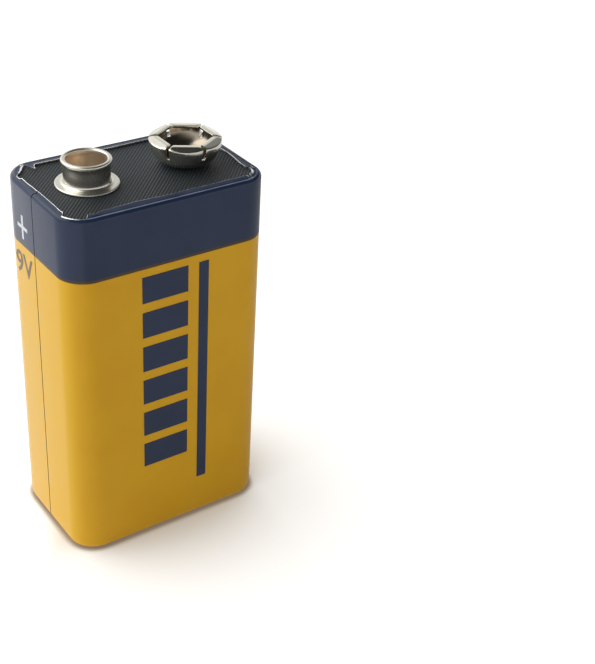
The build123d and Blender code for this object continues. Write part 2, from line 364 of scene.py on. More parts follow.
boardWeave = {
    "pitch": 0.36 * mm,      # across the diagonal rows
    "dash": 0.72 * mm,       # along them
    "dashShare": 0.28,       # the rest of a thread's height is the row's
    "stagger": 0.37,         # of a dash, from row to row
    "lean": 46.0,            # of the rows, in degrees from X
    "depth": 0.000045,
    "wander": 0.00010,
    "wanderScale": 420.0,
    "wornScale": 260.0,
    "wornShare": 0.7,
    "freshShare": 0.45,
    "gritScale": 5200.0,
    "gritDepth": 0.000012,
    "roughness": 0.5,
    "gritRough": 0.15,
    "low": screenColour(18, 24, 29),
    "high": screenColour(64, 73, 79),
}


def wovenBoardMaterial(name, look):
    material, maker, place = newMaterial(name)
    wander = maker.noise(place, look["wanderScale"], 2.0, 11.0) * look["wander"]
    x, y, z = maker.split(place)
    lean = math.radians(look["lean"])
    across = x * math.sin(lean) - y * math.cos(lean) + wander
    along = x * math.cos(lean) + y * math.sin(lean) + wander
    rows = maker.math("SINE", across * (2 * math.pi / look["pitch"])) * 0.5 + 0.5
    stagger = maker.math("FLOOR", across / look["pitch"] + 0.25) * (look["stagger"] * look["dash"])
    dashes = maker.math("SINE", (along + stagger) * (2 * math.pi / look["dash"])) * 0.5 + 0.5
    thread = rows * (1 - look["dashShare"] + dashes * look["dashShare"])
    grit = maker.noise(place, look["gritScale"], 3.0, 12.0)
    worn = maker.noise(place, look["wornScale"], 2.0, 13.0)
    share = thread * (look["freshShare"] + worn * look["wornShare"])
    finishMaterial(maker, {
        "Base Color": maker.blend(share, look["low"], look["high"]),
        "Roughness": look["roughness"] + grit * look["gritRough"],
        "Normal": bump(maker, thread * look["depth"] + grit * look["gritDepth"]),
    })
    return material


moulding = {
    "sparkScale": 3200.0,
    "sparkShare": 0.2,
    "sparkRough": 0.12,
    "cloudScale": 150.0,
    "cloudShare": 0.5,
}


def mouldedMaterial(name, colour, worn, roughness, depth):
    look = moulding
    material, maker, place = newMaterial(name)
    spark = maker.noise(place, look["sparkScale"], 3.0, 14.0)
    cloud = maker.noise(place, look["cloudScale"], 2.0, 15.0)
    finishMaterial(maker, {
        "Base Color": maker.blend(cloud * look["cloudShare"] + spark * look["sparkShare"], colour, worn),
        "Roughness": roughness + spark * look["sparkRough"],
        "Normal": bump(maker, spark * depth),
    })
    return material


# each lacquer has its colour, a shade of it, its scuffs' colour and its roughness
yellow = lacquerMaterial(
    "yellowLacquer", screenColour(240, 182, 7), screenColour(236, 176, 5), screenColour(246, 202, 60), 0.20,
    # the narrow side's tone is painted light
    side=screenColour(241, 189, 32),
)
navyColours = screenColour(42, 57, 86), screenColour(38, 52, 81), screenColour(92, 104, 132)
navy = lacquerMaterial("navyPrint", *navyColours, 0.18)
bandNavy = lacquerMaterial("navyBand", *navyColours, 0.18, foot=screenColour(83, 66, 43))
white = lacquerMaterial(
    "whitePrint", screenColour(228, 230, 238), screenColour(220, 223, 234), screenColour(245, 245, 247), 0.22
)
figureInk = lacquerMaterial(
    "figureInk", screenColour(112, 92, 66), screenColour(104, 86, 64), screenColour(150, 128, 92), 0.22
)
# each metal has its colour, its tarnish and its roughness
tin = metalMaterial("bareTin", (0.86, 0.86, 0.85), (0.66, 0.65, 0.62), 0.22)
nickel = metalMaterial("nickelPlate", (0.80, 0.78, 0.68), (0.70, 0.67, 0.55), 0.15, stainScale=500.0)
satin = metalMaterial("satinNickel", (0.84, 0.82, 0.73), (0.74, 0.71, 0.61), 0.27, stainScale=500.0)
# the stud's wall: the same nickel painted darker, as painted shade
shadedWall = metalMaterial("shadedWallNickel", (0.56, 0.54, 0.47), (0.45, 0.43, 0.36), 0.22, stainScale=500.0)
# the socket's inside: the nickel painted darker and browner, as painted shade in the hollow
shadedInside = metalMaterial("shadedInsideMetal", (0.40, 0.345, 0.27), (0.28, 0.235, 0.17), 0.16)
# the seam's cut ends: dark brown, painted shade in the gap
seamShadeMetal = metalMaterial("seamShadeMetal", (0.16, 0.12, 0.08), (0.10, 0.07, 0.05), 0.45)
# the stud's lining: a lighter, warmer copy of the nickel, painted light inside the bore
litBoreMetal = metalMaterial("litBoreMetal", (0.95, 0.84, 0.70), (0.84, 0.72, 0.58), 0.40)
brass = metalMaterial("rivetBrass", (0.70, 0.58, 0.43), (0.50, 0.39, 0.27), 0.20)
strip = metalMaterial("nickelStrip", (0.70, 0.70, 0.68), (0.60, 0.59, 0.55), 0.24)
can = metalMaterial("cellCan", (0.66, 0.67, 0.68), (0.56, 0.56, 0.55), 0.26, 300.0, (1.0, 1.0, 0.15))
board = wovenBoardMaterial("blackFibre", boardWeave)
plate = mouldedMaterial("basePlate", screenColour(52, 52, 54), screenColour(74, 74, 76), 0.42, 0.000012)
card = cardMaterial("fibreCard", cardLook)
film = mouldedMaterial("linerFilm", screenColour(228, 227, 220), screenColour(214, 212, 202), 0.35, 0.000004)
print("materials made")


# Meshes

sharpAngle = 32.0            # degrees between faces, from which an edge is shown sharp
weldDistance = 0.0001 * mm


def spread(first, last, count):
    return [first + (last - first) * i / count for i in range(count + 1)]


def meshFrom(bm, name):
    mesh = bpy.data.meshes.new(name)
    bm.to_mesh(mesh)
    bm.free()
    return mesh


def makePiece(name, mesh, materials=()):
    for material in materials:
        mesh.materials.append(material)
    mesh.shade_smooth()
    mesh.set_sharp_from_angle(angle=math.radians(sharpAngle))
    return addObject(name, mesh)


def standFor(piece, node):
    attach(piece, "root")
    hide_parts(node)


def turnOutwards(mesh):
    bm = bmesh.new()
    bm.from_mesh(mesh)
    bmesh.ops.remove_doubles(bm, verts=bm.verts, dist=weldDistance)
    bmesh.ops.recalc_face_normals(bm, faces=bm.faces)
    if bm.calc_volume(signed=True) < 0:
        bmesh.ops.reverse_faces(bm, faces=bm.faces)
    openEdges = sum(1 for edge in bm.edges if len(edge.link_faces) != 2)
    volume = round(bm.calc_volume(signed=True) / mm ** 3, 2)
    bm.to_mesh(mesh)
    print(mesh.name, "faces", len(bm.faces), "open edges", openEdges, "volume mm3", volume)
    bm.free()


def plainMesh(piece, name):
    graph = bpy.context.evaluated_depsgraph_get()
    mesh = bpy.data.meshes.new_from_object(piece.evaluated_get(graph))
    mesh.name = name
    old = piece.data
    bpy.data.objects.remove(piece)
    if old.users == 0:
        bpy.data.batch_remove([old])
    return mesh


def newTree(name, inputs):
    tree = bpy.data.node_groups.new(name, "GeometryNodeTree")
    tree.is_modifier = True
    tree.interface.new_socket("Geometry", in_out="INPUT", socket_type="NodeSocketGeometry")
    for label, (kind, value) in inputs.items():
        socket = tree.interface.new_socket(label, in_out="INPUT", socket_type="NodeSocket" + kind)
        if value is not None:
            socket.default_value = value
    tree.interface.new_socket("Geometry", in_out="OUTPUT", socket_type="NodeSocketGeometry")
    maker = NodeMaker(tree)
    source = maker.node("NodeGroupInput")
    given = {label: Value(maker, source.outputs[label]) for label in inputs}
    return maker, Value(maker, source.outputs["Geometry"]), given


def endTree(maker, geometry):
    maker.node("NodeGroupOutput", sockets={0: geometry})
    return maker.tree


def runTree(piece, tree, settings):
    modifier = piece.modifiers.new(tree.name, "NODES")
    modifier.node_group = tree
    for item in tree.interface.items_tree:
        if item.in_out == "INPUT" and item.name in settings:
            modifier[item.identifier] = settings[item.name]


# Folded sleeve: a sheet section swept round the case, folded in at the top and the base

sleeve = {  # inputs of the tree
    "Half Width": 12.97 * mm,
    "Half Depth": 8.37 * mm,
    "Corner Radius": 3.3 * mm,
    "Top": 45.57 * mm,
    "Top Bend": 0.5 * mm,
    "Top Drop": 0.22 * mm,   # from the tabs' cut edge down to the crest of the bend
    "Back Drop": 0.08 * mm,
    "Base Bend": 0.8 * mm,
    "Base Reach": 1.7 * mm,
    "Spacing": 0.12 * mm,
    "Reach Left": 0.86 * mm,
    "Reach Right": 1.35 * mm,
    "Reach Back": 1.4 * mm,
    "Reach Front": 1.15 * mm,
    "Reach Corner": 1.15 * mm,
    "Ridge": 0.05 * mm,
    "Waviness": 0.16 * mm,
    "Seed": 3.0,
}
tinplate = {
    "thickness": 0.25 * mm,
    "cutEdge": 0.045 * mm,   # how far the cut edge is rounded
    "cornerSteps": 32,
    "outerSteps": (12, 16, 26),  # round the base fold, up the wall and over the top fold
    "innerSteps": (8, 6, 12),
    "seamPlace": 0.4 * mm,
    "seamGap": 0.15 * mm,
    "seamShare": 0.55,       # of the gap, to each side, that is painted dark as shade
    "coatedTo": (1.5, 1.6),  # the lacquer ends half way over the top fold, under the band
}
bandCoat = {
    "thickness": 0.018 * mm,
    "lift": 0.0195 * mm,
    "bottom": 37.7 * mm,
    "wallSteps": 5,
    "bareEdge": 0.085 * mm,  # metal that shows beside the cut edge, and how much more of it by place
    "moreAtCorners": 1.6,
    "moreToRight": 1.2,
    "moreAtBack": 1.6,
}
foldShape = {  # flat lengths are measured from the end of the bend
    "cornerRange": (0.15, 0.7),
    "rippleScale": 420.0,
    "riseLength": 0.45 * mm,
    "riseRange": (0.25, 1.1),
    "valleyStart": (0.0, 0.10 * mm),
    "valleyEnd": (0.14 * mm, 0.34 * mm),
    "liftScale": 900.0,
    "liftRange": (0.7, 1.0),
}
# the crest's and tabs' lighter print is partly wear and partly a painted highlight
foldWearAndSheen = {
    "crestTurn": (1.15, 1.45),   # radians round the bend
    "crestEnd": (0.04 * mm, 0.13 * mm),
    "tabRange": (0.16 * mm, 0.30 * mm),
    "tabShare": 0.22,
    "steady": 0.75,              # the ripple adds to it and takes from it
    "frontRange": (0.75, 1.0),
    "frontShare": 0.85,          # the rest is worn all round
    "crumpleRange": (0.05 * mm, 0.20 * mm),
}
tabEnds = [  # where a tab's end reaches further in: x, y, change, width, in mm
    (-10.25, 8.3, 1.15, 1.1),
    (12.97, -4.4, 0.30, 3.2),
    (-9.2, -8.37, -0.25, 1.0),
    (-4.0, -8.37, 0.20, 4.0),
    (11.6, 7.9, 0.3, 1.2),
    (-12.2, 7.1, 0.12, 1.2),
]
notches = [  # on the outline: x, y, inner and outer radius, and the reach inside, in mm
    (-10.98, 8.10, 0.10, 0.34, 0.62),
    (-12.97, 5.05, 0.35, 0.80, 0.66),
    (-12.05, -7.45, 1.55, 2.15, 0.50),
    (10.75, -8.2, 0.10, 0.40, 0.62),
    (12.93, -5.55, 0.10, 0.40, 0.62),
    (12.7, 6.2, 0.10, 0.40, 0.62),
    (10.1, 8.35, 0.10, 0.40, 0.62),
]
tiny = 1e-6                  # keeps a divisor off zero
quarterTurn = math.pi / 2


def makeSleeveTree():
    inputs = {label: ("Float", value) for label, value in sleeve.items()}
    inputs.update({
        "Section": ("Object", None),
        "Thickness": ("Float", tinplate["thickness"]),
        "Lift": ("Float", 0.0),
        "Edge Gap": ("Float", 0.0),
        "Outer Material": ("Material", None),
        "Bare Material": ("Material", None),
        "Seam Material": ("Material", None),
    })
    maker, path, given = newTree("foldedSleeve", inputs)

    # the outline, and the sheet section carried along it
    line = maker.value("GeometryNodeMeshToCurve", sockets={0: path})
    rounded = maker.value("GeometryNodeFilletCurve", {"mode": "POLY"}, {
        "Curve": line,
        "Count": tinplate["cornerSteps"],
        "Radius": given["Corner Radius"],
        "Limit Radius": False,
    })
    even = maker.value("GeometryNodeResampleCurve", {"mode": "LENGTH"}, {
        "Curve": rounded, "Length": given["Spacing"],
    })
    guided = maker.store(even, "guide", "FLOAT_VECTOR", maker.value("GeometryNodeInputPosition"))
    section = maker.value("GeometryNodeObjectInfo", sockets={"Object": given["Section"]}, output="Geometry")
    sectionLine = maker.value("GeometryNodeMeshToCurve", sockets={0: section})
    swept = maker.value("GeometryNodeCurveToMesh", sockets={
        "Curve": guided, "Profile Curve": sectionLine, "Fill Caps": True,
    })
    guide = maker.stored("guide", "FLOAT_VECTOR")
    share, depth, back = maker.split(maker.stored("sheetPlace", "FLOAT_VECTOR"))

    # which way is outwards at this place on the outline
    x, y, _ = maker.split(guide)
    radius = given["Corner Radius"]
    dx = maker.atLeast(maker.math("ABSOLUTE", x) - (given["Half Width"] - radius), 0.0)
    dy = maker.atLeast(maker.math("ABSOLUTE", y) - (given["Half Depth"] - radius), 0.0)
    span = maker.atLeast(maker.math("SQRT", dx * dx + dy * dy), tiny)
    outX = maker.math("SIGN", x) * dx / span
    outY = maker.math("SIGN", y) * dy / span

    # how far in the fold reaches here: by side, less at corners, cut down to the bend at notches
    reach = 0.0
    for label, facing in (("Left", -outX), ("Right", outX), ("Back", outY), ("Front", -outY)):
        facing = maker.atLeast(facing, 0.0)
        reach = facing * facing * given["Reach " + label] + reach
    cornerShare = maker.smooth(maker.math("ABSOLUTE", outX * outY * 2.0), *foldShape["cornerRange"])
    reach = reach * (1 - cornerShare) + given["Reach Corner"] * cornerShare
    for endX, endY, change, width in tabEnds:
        apart = maker.measure("DISTANCE", guide, (endX * mm, endY * mm, 0))
        near = 1 - maker.smooth(apart, 0.0, width * mm)
        reach = near * (change * mm) + reach
    ripple = maker.noise(guide, foldShape["rippleScale"], 2.0, given["Seed"]) - 0.5
    reach = reach + ripple * 2.0 * given["Waviness"]
    for notchX, notchY, inner, outer, left in notches:
        apart = maker.measure("DISTANCE", guide, (notchX * mm, notchY * mm, 0))
        away = maker.smooth(apart, inner * mm, outer * mm)
        reach = left * mm + (reach - left * mm) * away

    # top fold: round a bend to its crest, then up a little to the cut edge
    bend = given["Top Bend"]
    offset = given["Lift"] - depth * given["Thickness"]
    cosine = maker.limit(1 - reach / bend, 0.0, 1.0)
    flatLength = maker.atLeast(reach - bend, tiny)
    foldLength = bend * maker.math("ARCCOSINE", cosine) + flatLength
    topShare = maker.limit(share - 1, 0.0, 1.0)
    rightwards = maker.atLeast(outX, 0.0)
    backwards = maker.atLeast(outY, 0.0)
    more = cornerShare * bandCoat["moreAtCorners"] + rightwards * bandCoat["moreToRight"]
    edgeGap = given["Edge Gap"] * (more + backwards * bandCoat["moreAtBack"] + 1.0)
    run = maker.atLeast(topShare * (foldLength - edgeGap) - back, 0.0)
    angle = maker.math("MINIMUM", run / bend, quarterTurn)
    flat = maker.atLeast(run - bend * quarterTurn, 0.0)
    inset = bend - (bend + offset) * maker.math("COSINE", angle) + flat
    drop = given["Top Drop"] + (given["Back Drop"] - given["Top Drop"]) * backwards
    crest = given["Top"] - drop
    height = crest - bend + (bend + offset) * maker.math("SINE", angle)
    rise = drop * maker.limit(flatLength / foldShape["riseLength"], 0.0, 1.0)
    sinking = maker.smooth(flat, *foldShape["valleyStart"])
    valley = sinking * (1 - maker.smooth(flat, *foldShape["valleyEnd"]))
    bumps = maker.noise(guide, foldShape["liftScale"], 1.0, given["Seed"] + 5.0)
    lifted = bumps * maker.smooth(topShare, *foldShape["liftRange"])
    height = height + rise * maker.smooth(flat / flatLength, *foldShape["riseRange"])
    height = height + (lifted - valley) * given["Ridge"]

    # base fold and wall
    baseBend = given["Base Bend"]
    baseLength = baseBend * quarterTurn + given["Base Reach"] - baseBend
    baseRun = maker.atLeast(maker.limit(-share, 0.0, 1.0) * baseLength - back, 0.0)
    baseAngle = maker.math("MINIMUM", baseRun / baseBend, quarterTurn)
    baseFlat = maker.atLeast(baseRun - baseBend * quarterTurn, 0.0)
    baseInset = baseBend - (baseBend + offset) * maker.math("COSINE", baseAngle) + baseFlat
    baseHeight = baseBend - (baseBend + offset) * maker.math("SINE", baseAngle)
    wallTop = crest - bend
    wallHeight = baseBend + (wallTop - baseBend) * maker.limit(share, 0.0, 1.0)
    height = height - wallTop + baseHeight - baseBend + wallHeight
    inset = inset + baseInset + offset
    place = maker.join(x - outX * inset, y - outY * inset, height)

    # a lighter print on the crest and the tabs, partly wear and partly a painted highlight, most at the
    # front, and crumples on the other sides' tabs
    crestWearAndSheen = maker.smooth(angle, *foldWearAndSheen["crestTurn"]) * (1 - maker.smooth(flat, *foldWearAndSheen["crestEnd"]))
    tabWearAndSheen = maker.smooth(flat, *foldWearAndSheen["tabRange"]) * foldWearAndSheen["tabShare"]
    frontShare = maker.smooth(-outY, *foldWearAndSheen["frontRange"]) * foldWearAndSheen["frontShare"]
    frontShare = frontShare + (1 - foldWearAndSheen["frontShare"])
    wear = (crestWearAndSheen + tabWearAndSheen) * (foldWearAndSheen["steady"] + ripple) * frontShare
    crumple = maker.smooth(flat, *foldWearAndSheen["crumpleRange"]) * (1 - frontShare)
    worn = maker.store(swept, "wear", "FLOAT", wear)
    dented = maker.store(worn, "crumple", "FLOAT", crumple)
    folded = maker.value("GeometryNodeSetPosition", sockets={"Geometry": dented, "Position": place})

    # outer faces are coated, all others are bare, and the seam's cut ends get a dark material of their own,
    # painted shade in the gap
    isOuter = maker.compare("LESS_THAN", depth + maker.smooth(share, *tinplate["coatedTo"]), 0.01)
    bare = maker.paint(folded, given["Bare Material"])
    solid = maker.value("GeometryNodeRealizeInstances", sockets={0: bare})
    coated = maker.paint(solid, given["Outer Material"], isOuter)
    seamX, seamY, _ = maker.split(maker.value("GeometryNodeInputPosition"))
    fromSeam = maker.math("ABSOLUTE", seamY - tinplate["seamPlace"]) + maker.atLeast(seamX, 0.0)
    atSeam = maker.compare("LESS_THAN", fromSeam, tinplate["seamGap"] * tinplate["seamShare"])
    return endTree(maker, maker.paint(coated, given["Seam Material"], atSeam))


def makeOutline():
    halfWidth, halfDepth = sleeve["Half Width"], sleeve["Half Depth"]
    low, high = (tinplate["seamPlace"] + side * tinplate["seamGap"] / 2 for side in (-1, 1))
    points = [
        (-halfWidth, high), (-halfWidth, halfDepth), (halfWidth, halfDepth),
        (halfWidth, -halfDepth), (-halfWidth, -halfDepth), (-halfWidth, low),
    ]
    mesh = bpy.data.meshes.new("outline")
    edges = [(i, i + 1) for i in range(len(points) - 1)]
    mesh.from_pydata([(x, y, 0) for x, y in points], edges, [])
    return mesh


def makeSection(name, places):
    # a place is its share of the way, its depth in the sheet and how far it stands back from the cut edge;
    # the share runs from -1 to 0 round the base fold, to 1 up the wall and to 2 over the top fold
    mesh = bpy.data.meshes.new(name)
    edges = [(i, (i + 1) % len(places)) for i in range(len(places))]
    mesh.from_pydata([(share, depth, 0) for share, depth, back in places], edges, [])
    stored = mesh.attributes.new("sheetPlace", "FLOAT_VECTOR", "POINT")
    for point, place in zip(stored.data, places):
        point.vector = place
    return addObject(name, mesh)


def sheetSection():
    edge = tinplate["cutEdge"]

    def face(steps, depth):
        base, wall, top = steps
        shares = spread(-1, 0, base)[:-1] + spread(0, 1, wall)[:-1] + spread(1, 2, top)
        return [(share, depth, edge if share in (-1, 2) else 0.0) for share in shares]

    rounding = [(0.05, edge * 0.3), (0.16, 0.0), (0.84, 0.0), (0.95, edge * 0.3)]
    topEdge = [(2, depth, back) for depth, back in rounding]
    baseEdge = [(-1, depth, back) for depth, back in reversed(rounding)]
    outer, inner = face(tinplate["outerSteps"], 0.0), face(tinplate["innerSteps"], 1.0)
    return makeSection("sheetSection", outer + topEdge + inner[::-1] + baseEdge)


def coatSection():
    wallTop = sleeve["Top"] - sleeve["Top Drop"] - sleeve["Top Bend"]
    start = (bandCoat["bottom"] - sleeve["Base Bend"]) / (wallTop - sleeve["Base Bend"])
    shares = spread(start, 1, bandCoat["wallSteps"])[:-1] + spread(1, 2, tinplate["outerSteps"][2])
    outer = [(share, 0.0, 0.0) for share in shares]
    inner = [(share, 1.0, 0.0) for share in reversed(shares)]
    return makeSection("coatSection", outer + inner)


def sweepSleeve(name, section, tree, settings):
    carrier = addObject(name + "Carrier", makeOutline())
    runTree(carrier, tree, {**sleeve, "Section": section, **settings})
    mesh = plainMesh(carrier, name)
    bpy.data.objects.remove(section)
    turnOutwards(mesh)
    return makePiece(name, mesh)


sleeveTree = makeSleeveTree()
jacket = sweepSleeve("foldedJacket", sheetSection(), sleeveTree, {
    "Thickness": tinplate["thickness"],
    "Outer Material": yellow, "Bare Material": tin, "Seam Material": seamShadeMetal,
})
band = sweepSleeve("printedBand", coatSection(), sleeveTree, {
    "Thickness": bandCoat["thickness"], "Lift": bandCoat["lift"], "Edge Gap": bandCoat["bareEdge"],
    "Outer Material": bandNavy, "Bare Material": bandNavy, "Seam Material": bandNavy,
})
standFor(jacket, "jacket")
standFor(band, "dark_band")
print("sleeve folded")


# Snap terminals

terminals = {
    "boardTop": 45.32 * mm,
    "height": 3.18 * mm,
    "pitch": 12.7 * mm,
    "sheet": 0.28 * mm,
    "holeRadius": 1.03 * mm,
}
socketShape = {
    "mouth": 2.8 * mm,          # from the axis to the flat of the mouth
    "rim": 0.55 * mm,           # width of the level rim round the mouth
    "belly": 4.25 * mm,
    "bellyHeight": 2.85 * mm,
    "foot": 2.5 * mm,
    "lean": 19.0,               # slope of the flats, in degrees
    "slitHalf": 0.21 * mm,
    "slitDepth": 1.55 * mm,
    "edge": 0.05 * mm,          # rounding at the mouth
    "softness": 0.26 * mm,      # of the turn from a flat to the bowl
    "bevel": 0.035 * mm,
    "bevelFrom": 50.0,          # degrees between faces
    "petals": 6,
}
socketRows = {
    "columns": 14,
    "floor": 4,
    "bowl": 12,
    "lining": 8,
    "flat": 7,
    "rim": 20,
    "outerRimZone": 0.55 * mm,  # below the rim, where rows stand close together
    "innerRimZone": 0.42 * mm,
    "rimStep": 0.008 * mm,
}
petalLift = {  # inputs of the tree: the petal on one side slopes a little less than the others
    "Lift Towards": (0.5, math.sqrt(0.75), 0.0),
    "Lift": 0.19,
    "Lift Start": 3.35 * mm,
    "Lift Foot": 2.2 * mm,
    "Lift Top": 2.85 * mm,
}


def bowlRadius(z, foot, belly, footHeight, bellyHeight):
    rise = bellyHeight - footHeight
    arc = ((belly - foot) ** 2 + rise ** 2) / (2 * (belly - foot))
    if z >= bellyHeight:
        return belly
    return belly - arc + math.sqrt(max(arc ** 2 - (bellyHeight - z) ** 2, 0.0))


def softMin(first, second, softness):
    mixed = max(softness - abs(first - second), 0.0) / softness
    return min(first, second) - mixed * mixed * softness / 4


def makePetal(shape, rows):
    # one sixth of the socket: rows run up the outside, over the rim, down the mouth and the inside
    sheet, height, hole = (terminals[key] for key in ("sheet", "height", "holeRadius"))
    foot, mouth, edge, slitHalf = (shape[key] for key in ("foot", "mouth", "edge", "slitHalf"))
    lean = math.radians(shape["lean"])
    rimOuter = mouth + shape["rim"]
    rimInner = rimOuter - sheet / math.sin(lean)
    floorInner = foot - sheet
    under = height - sheet
    slitFoot = height - shape["slitDepth"]
    half = math.pi / shape["petals"]

    def reachOf(z, theta, rim, inwards):
        bowl = bowlRadius(z, foot - inwards, shape["belly"] - inwards, inwards, shape["bellyHeight"])
        flat = (rim + (height - z) / math.tan(lean)) / math.cos(theta)
        return softMin(bowl, flat, shape["softness"])

    def outerReach(z, theta):
        return reachOf(z, theta, rimOuter, 0.0)

    def innerReach(z, theta):
        return reachOf(z, theta, rimInner, sheet)

    def circles(z, radii):
        return [(z, lambda theta, radius=radius: radius) for radius in radii]

    def walls(levels, reachAt):
        return [(z, lambda theta, z=z: reachAt(z, theta)) for z in levels]

    def levelsTo(top, rimZone):
        rimLevels = spread(top - rimZone, top - rows["rimStep"], rows["rim"])
        return spread(slitFoot, top - rimZone, rows["flat"]) + rimLevels[1:]

    def hexagon(z, apothem):
        return (z, lambda theta: apothem / math.cos(theta))

    def overRim(level, turned):
        # level rim, then the rounded edge of the mouth; turned is -1 above the sheet and 1 below it
        made = [hexagon(level, reach) for reach in (rimOuter - 0.06 * mm, rimOuter - 0.2 * mm, mouth + edge)]
        for degrees in (30, 60, 90):
            turn = math.radians(degrees)
            apothem = mouth + edge * (1 - math.sin(turn))
            made.append(hexagon(level + turned * edge * (1 - math.cos(turn)), apothem))
        return made

    lowOuter = circles(0.0, spread(hole, foot - 0.1 * mm, rows["floor"]))
    lowOuter += circles(0.03 * mm, [foot - 0.02 * mm])
    lowOuter += walls(spread(0.1 * mm, slitFoot, rows["bowl"])[:-1], outerReach)
    lowInner = circles(sheet, spread(hole, floorInner - 0.35 * mm, rows["floor"]))
    lowInner += circles(sheet + 0.03 * mm, [floorInner - 0.12 * mm])
    lowInner += circles(sheet + 0.12 * mm, [floorInner - 0.01 * mm])
    lowInner += walls(spread(sheet + 0.35 * mm, slitFoot, rows["lining"])[:-1], innerReach)
    middle = hexagon((height + under) / 2, mouth)
    upOuter = walls(levelsTo(height, rows["outerRimZone"]), outerReach) + overRim(height, -1) + [middle]
    upInner = walls(levelsTo(under, rows["innerRimZone"]), innerReach) + overRim(under, 1) + [middle]

    bm = bmesh.new()
    insideLayer = bm.faces.layers.float.new("inside")

    def row(z, reachAt, bridged):
        edgeTheta = half
        for _ in range(4):  # a slit's edge is straight, so its angle hangs on the reach there
            edgeTheta = half - math.asin(slitHalf / max(reachAt(edgeTheta), slitHalf * 2))
        thetas = spread(-edgeTheta, edgeTheta, rows["columns"])
        if bridged:
            thetas = [-half] + thetas + [half]
        polar = [(reachAt(theta), theta) for theta in thetas]
        return [bm.verts.new((r * math.cos(theta), r * math.sin(theta), z)) for r, theta in polar]

    def bridge(first, second, inside=0.0):
        for i in range(len(first) - 1):
            face = bm.faces.new((first[i], first[i + 1], second[i + 1], second[i]))
            face[insideLayer] = inside

    def skin(skinRows, inside):
        for first, second in zip(skinRows, skinRows[1:]):
            bridge(first, second, inside)

    lowRowsOuter = [row(*level, True) for level in lowOuter + upOuter[:1]]
    lowRowsInner = [row(*level, True) for level in lowInner + upInner[:1]]
    skin(lowRowsOuter, 0.0)
    skin(lowRowsInner, 1.0)
    bridge(lowRowsOuter[0], lowRowsInner[0])
    upRowsOuter = [lowRowsOuter[-1][1:-1]] + [row(*level, False) for level in upOuter[1:]]
    upRowsInner = [lowRowsInner[-1][1:-1]] + [row(*level, False) for level in upInner[1:]]
    skin(upRowsOuter, 0.0)
    skin(upRowsInner, 1.0)
    for end in (0, -1):  # the slit's side walls and its foot
        outer = [level[end] for level in upRowsOuter]
        inner = [level[end] for level in upRowsInner]
        bridge(outer, inner)
        bridge([lowRowsOuter[-1][end], outer[0]], [lowRowsInner[-1][end], inner[0]])
    bmesh.ops.remove_doubles(bm, verts=bm.verts, dist=weldDistance)
    return addObject("petal", meshFrom(bm, "petal"))


def makeRingTree():
    maker, _, given = newTree("petalRing", {
        "Petal": ("Object", None),
        "Count": ("Int", socketShape["petals"]),
        "Place": ("Vector", (0.0, 0.0, 0.0)),
        "Weld": ("Float", 0.002 * mm),
        "Material": ("Material", None),
        "Inside Material": ("Material", None),
        "Lift Towards": ("Vector", petalLift["Lift Towards"]),
        "Lift": ("Float", petalLift["Lift"]),
        "Lift Start": ("Float", petalLift["Lift Start"]),
        "Lift Foot": ("Float", petalLift["Lift Foot"]),
        "Lift Top": ("Float", petalLift["Lift Top"]),
    })
    petal = maker.value("GeometryNodeObjectInfo", sockets={"Object": given["Petal"]}, output="Geometry")
    points = maker.value("GeometryNodePoints", sockets={"Count": given["Count"], "Position": given["Place"]})
    turn = maker.value("GeometryNodeInputIndex") * (2 * math.pi) / given["Count"]
    ring = maker.value("GeometryNodeInstanceOnPoints", sockets={
        "Points": points, "Instance": petal, "Rotation": maker.join(0.0, 0.0, turn),
    })
    solid = maker.value("GeometryNodeRealizeInstances", sockets={0: ring})
    welded = maker.value("GeometryNodeMergeByDistance", sockets={
        "Geometry": solid, "Distance": given["Weld"],
    })
    local = maker.vector("SUBTRACT", maker.value("GeometryNodeInputPosition"), given["Place"])
    facing = maker.measure("DOT_PRODUCT", local, given["Lift Towards"])
    beyond = maker.atLeast(facing - given["Lift Start"], 0.0)
    upThere = maker.smooth(maker.split(local)[2], given["Lift Foot"], given["Lift Top"])
    lift = beyond * given["Lift"] * upThere
    lifted = maker.value("GeometryNodeSetPosition", sockets={
        "Geometry": welded, "Offset": maker.join(0.0, 0.0, lift),
    })
    isInside = maker.compare("GREATER_THAN", maker.stored("inside", "FLOAT"), 0.5)
    finished = maker.paint(lifted, given["Material"])
    return endTree(maker, maker.paint(finished, given["Inside Material"], isInside))


def bevelEdges(piece, width, angle):
    modifier = piece.modifiers.new("bevel", "BEVEL")
    modifier.width = width
    modifier.segments = 2
    modifier.limit_method = "ANGLE"
    modifier.angle_limit = math.radians(angle)


def makeSocket():
    petal = makePetal(socketShape, socketRows)
    carrier = addObject("socketCarrier", bpy.data.meshes.new("socketCarrier"))
    runTree(carrier, makeRingTree(), {
        **petalLift,
        "Petal": petal,
        "Count": socketShape["petals"],
        "Place": (terminals["pitch"] / 2, 0.0, terminals["boardTop"]),
        "Material": nickel,
        # the inside's darker metal is painted shade
        "Inside Material": shadedInside,
    })
    mesh = plainMesh(carrier, "snapSocket")
    bpy.data.objects.remove(petal)
    turnOutwards(mesh)
    rough = makePiece("socketRough", mesh)
    bevelEdges(rough, socketShape["bevel"], socketShape["bevelFrom"])
    return makePiece("snapSocket", plainMesh(rough, "snapSocket"))


def arcPoints(centre, radius, first, last, steps):
    turns = [math.radians(turn) for turn in spread(first, last, steps)]
    return [(centre[0] + radius * math.cos(turn), centre[1] + radius * math.sin(turn)) for turn in turns]


